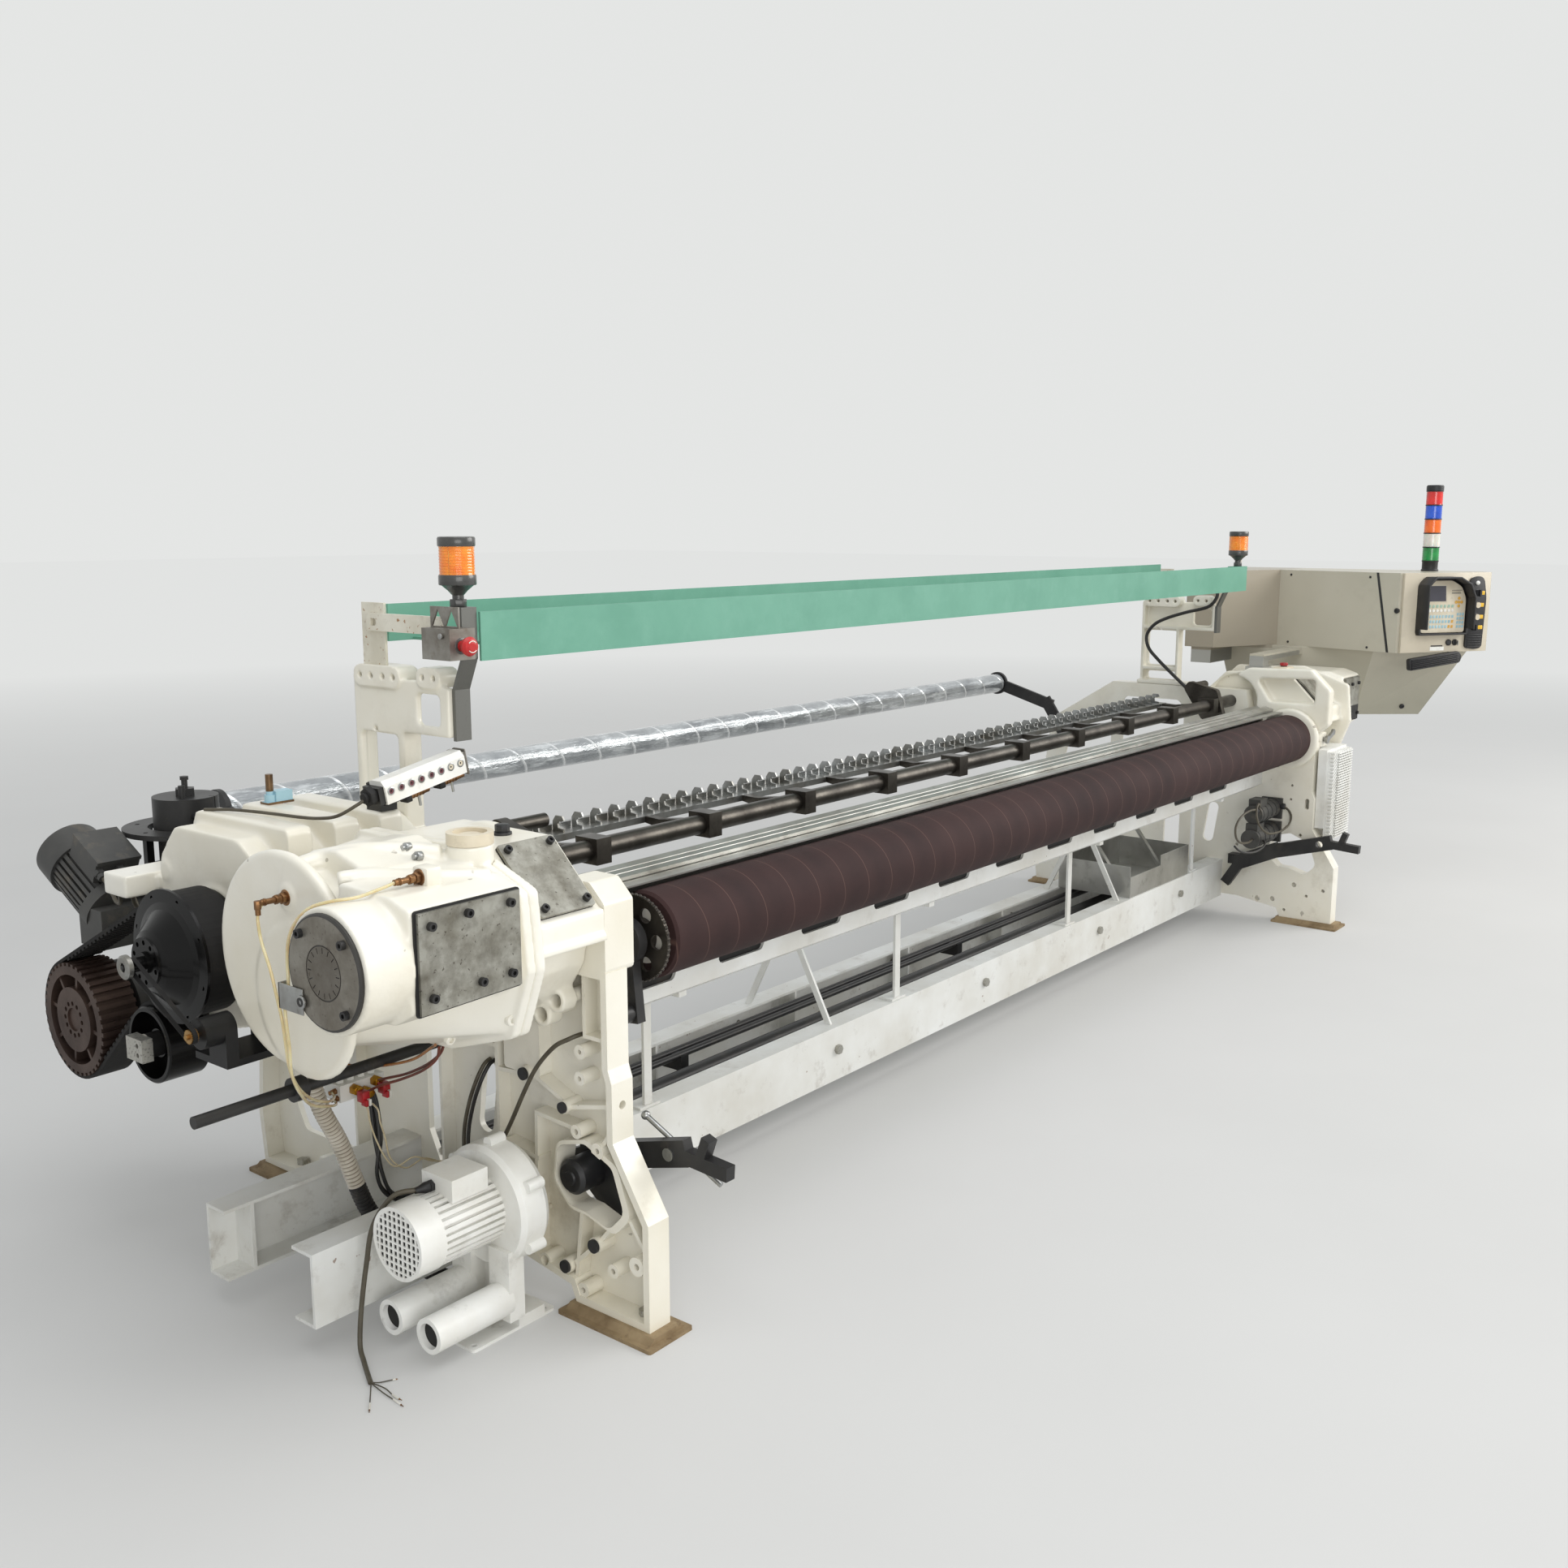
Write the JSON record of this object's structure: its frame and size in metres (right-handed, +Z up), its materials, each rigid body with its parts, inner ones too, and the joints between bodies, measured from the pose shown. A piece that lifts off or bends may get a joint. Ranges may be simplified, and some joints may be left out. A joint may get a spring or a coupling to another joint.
{
  "type": "power loom",
  "caption": "Wide shuttleless power loom: cast side frames, belt drive with brake drum, take-up roller, sley, back-rest tube, hanging control cabinet and suction blower.",
  "frame": {"origin": "middle of the footprint, on the floor", "axes": "+X along the loom to the cabinet end, +Y from the weaver to the back rest, +Z up"},
  "size_m": [5.61, 1.9047, 1.774],
  "materials": {
    "cast_cream": "satin paint",
    "pad_steel": "rusty brown",
    "plug_rubber": "matt",
    "rail_white": "satin paint",
    "screw_black": "blackened steel",
    "tube_black": "satin black",
    "beam_beige": "satin paint",
    "plate_grey": "ground grey plate",
    "cap_plastic": "matt",
    "pulley_red": "reddish primer",
    "motor_grey": "dark paint",
    "belt_rubber": "matt",
    "brass": "machined",
    "sensor_plastic": "satin",
    "emery": "maroon emery cloth",
    "steel": "machined, dull",
    "aluminium": "drawn",
    "beam_green": "satin paint",
    "strap_steel": "bare steel",
    "red_plastic": "gloss",
    "lamp": "gloss",
    "socket_white": "satin",
    "cabinet_grey": "satin paint",
    "knob_plastic": "satin",
    "hose": "clear and black",
    "cable": "matt"
  },
  "bodies": {
    "loom": {"left_side_frame": "cast_cream", "right_side_frame": "cast_cream", "foot_pads": "pad_steel", "frame_plugs": "plug_rubber", "front_channel": "rail_white", "rear_channel": "rail_white", "screws": "screw_black", "base_tubes": "tube_black", "cross_beam": "beam_beige", "beam_stands": "rail_white", "cloth_tray": "beam_beige", "left_gear_case": "cast_cream", "left_gear_cover": "cast_cream", "cover_plates": "plate_grey", "oil_cap": "cap_plastic", "rear_gear_case": "cast_cream", "main_motor": "motor_grey", "drive_belt": "belt_rubber", "drive_bracket": "tube_black", "encoder_belt": "belt_rubber", "let_off_motor": "motor_grey", "coupling_stand": "tube_black", "position_sensor": "sensor_plastic", "carrying_bar": "tube_black", "oil_manifold": "rail_white", "roller_arm": "tube_black", "guide_rails": "aluminium", "back_rest_brackets": "tube_black", "cloth_arms": "tube_black", "post_castings": "cast_cream", "top_beam": "beam_green", "beam_straps": "strap_steel", "stop_box": "strap_steel", "beacons": "lamp", "socket_box": "socket_white", "right_gear_case": "cast_cream", "electronics_cover": "rail_white", "servo_motors": "motor_grey", "cabinet": "cabinet_grey", "control_panel": "cabinet_grey", "signal_tower": "lamp", "blower": "rail_white", "suction_hose": "hose", "blower_cable": "cable"},
    "take_up": {"take_up_roller": "emery", "take_up_sprocket": "steel"},
    "rest_tube": {"back_rest_tube": "aluminium"},
    "drum": {"brake_drum": "tube_black"},
    "pulley": {"motor_pulley": "pulley_red"},
    "idler": {"idler_roller": "tube_black"},
    "encoder": {"encoder_wheel": "brass"},
    "sley": {"sley_shaft": "steel", "sley_beam": "aluminium"},
    "coupling": {"coupling_drum": "tube_black"},
    "stop": {"stop_button": "red_plastic"},
    "latch": {"cloth_latch": "steel"},
    "lever": {"gear_lever": "steel"},
    "selector": {"selector_knob": "knob_plastic"},
    "run": {"run_button": "knob_plastic"},
    "jog": {"jog_button": "knob_plastic"}
  },
  "joints": [
    {"name": "take_up_turn", "type": "hinge", "parent": "loom", "child": "take_up", "pos_m": [-1.9, -0.454, 0.761], "axis": [1, 0, 0], "continuous": true},
    {"name": "rest_turn", "type": "hinge", "parent": "loom", "child": "rest_tube", "pos_m": [0, 0.9, 0.895], "axis": [1, 0, 0], "continuous": true},
    {"name": "drum_turn", "type": "hinge", "parent": "loom", "child": "drum", "pos_m": [-2.6, 0.144, 0.772], "axis": [1, 0, 0], "continuous": true},
    {"name": "pulley_turn", "type": "hinge", "parent": "loom", "child": "pulley", "pos_m": [-2.62, 0.572, 0.551], "axis": [1, 0, 0], "continuous": true},
    {"name": "idler_turn", "type": "hinge", "parent": "loom", "child": "idler", "pos_m": [-2.62, 0.236, 0.57], "axis": [1, 0, 0], "continuous": true},
    {"name": "encoder_turn", "type": "hinge", "parent": "loom", "child": "encoder", "pos_m": [-2.74, -0.052, 0.671], "axis": [1, 0, 0], "continuous": true},
    {"name": "sley_swing", "type": "hinge", "parent": "loom", "child": "sley", "pos_m": [0, -0.2, 0.894], "axis": [1, 0, 0], "range_deg": [-6, 20]},
    {"name": "coupling_turn", "type": "hinge", "parent": "loom", "child": "coupling", "pos_m": [-2.28, 0.72, 0.903], "axis": [0, 0, 1], "continuous": true},
    {"name": "stop_press", "type": "slide", "parent": "loom", "child": "stop", "axis": [0, 1, 0], "range_m": [0, 0.004], "stiffness_N_per_m": 600},
    {"name": "latch_swing", "type": "hinge", "parent": "loom", "child": "latch", "pos_m": [-2.02, -0.62, 0.354], "axis": [1, 0, 0], "range_deg": [0, 60]},
    {"name": "lever_swing", "type": "hinge", "parent": "loom", "child": "lever", "pos_m": [1.915, -0.565, 0.754], "axis": [0, 1, 0], "range_deg": [-40, 30]},
    {"name": "selector_turn", "type": "hinge", "parent": "loom", "child": "selector", "pos_m": [2.64755, -0.89977, 1.325], "axis": [0.5698, 0.8218, 0], "range_deg": [-45, 45]},
    {"name": "run_press", "type": "slide", "parent": "loom", "child": "run", "axis": [0.5698, 0.8218, 0], "range_m": [0, 0.003], "stiffness_N_per_m": 400},
    {"name": "jog_press", "type": "slide", "parent": "loom", "child": "jog", "axis": [0.5698, 0.8218, 0], "range_m": [0, 0.003], "stiffness_N_per_m": 400}
  ],
  "couplings": [
    {"joint": "pulley_turn", "follows": "drum_turn", "ratio": 0.95381},
    {"joint": "idler_turn", "follows": "drum_turn", "ratio": -1.4768},
    {"joint": "encoder_turn", "follows": "drum_turn", "ratio": 1}
  ]
}
